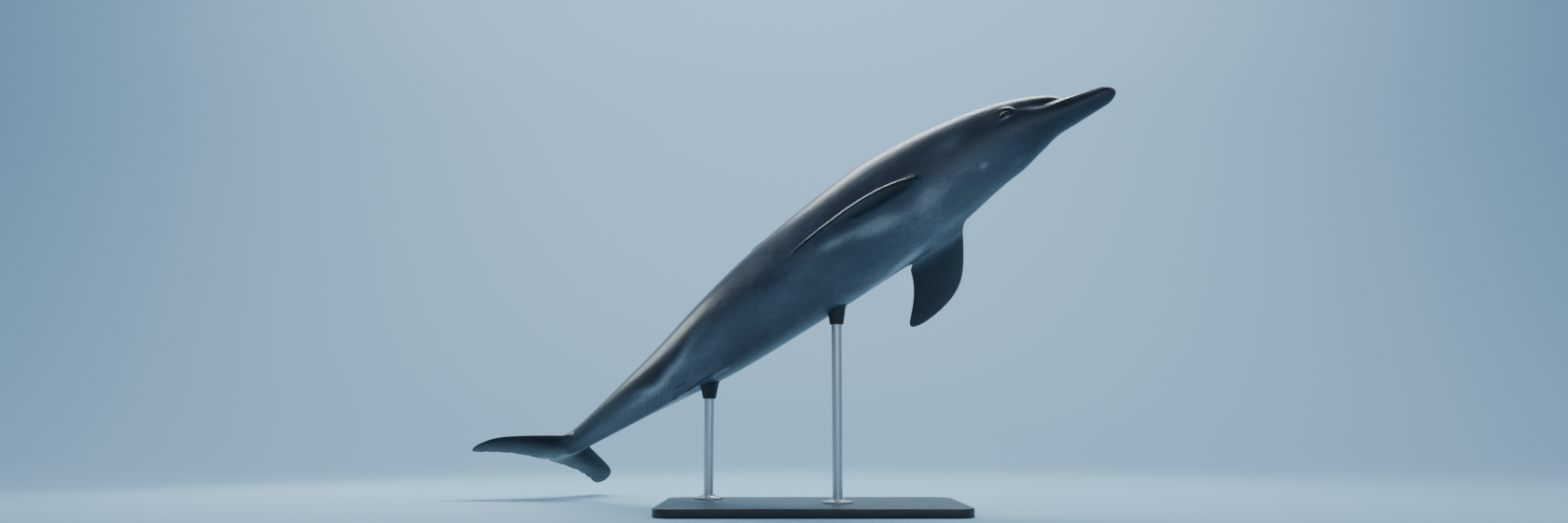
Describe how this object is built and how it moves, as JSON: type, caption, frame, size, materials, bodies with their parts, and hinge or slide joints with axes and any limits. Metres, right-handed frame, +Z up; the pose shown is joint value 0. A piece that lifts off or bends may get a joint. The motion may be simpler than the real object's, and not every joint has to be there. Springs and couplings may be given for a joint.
{
  "type": "bottlenose dolphin display model",
  "caption": "Life-size bottlenose dolphin swimming upwards, banked with its belly and right side to the viewer, on a plain stand of a flat base and slim rods.",
  "frame": {"origin": "centre of the underside of the stand's base", "axes": "+Z up, +X the way the animal swims (its nose end), +Y away from the viewer, on the far side of the animal"},
  "size_m": [2.1716, 1.4327, 1.2864],
  "materials": {
    "dolphin_skin": "smooth wet skin, slate grey",
    "dolphin_belly": "smooth wet skin, pale grey",
    "dolphin_fins": "smooth wet skin, nearly black",
    "dolphin_eye": "polished, dark brown",
    "stand_board": "matt black paint",
    "stand_steel": "brushed",
    "stand_rubber": "matt"
  },
  "bodies": {
    "root": {"head": "dolphin_skin", "lower_jaw": "dolphin_skin", "neck": "dolphin_skin", "chest": "dolphin_skin", "belly": "dolphin_belly", "tail_stock": "dolphin_skin", "dorsal_fin": "dolphin_fins", "flipper_left": "dolphin_fins", "flipper_right": "dolphin_fins", "fluke_left": "dolphin_fins", "fluke_right": "dolphin_fins", "eye_left": "dolphin_eye", "eye_right": "dolphin_eye", "stand_base": "stand_board", "stand_foot_front": "stand_steel", "stand_foot_rear": "stand_steel", "stand_rod_front": "stand_steel", "stand_rod_rear": "stand_steel", "stand_collar_front": "stand_rubber", "stand_collar_rear": "stand_rubber"}
  },
  "joints": []
}
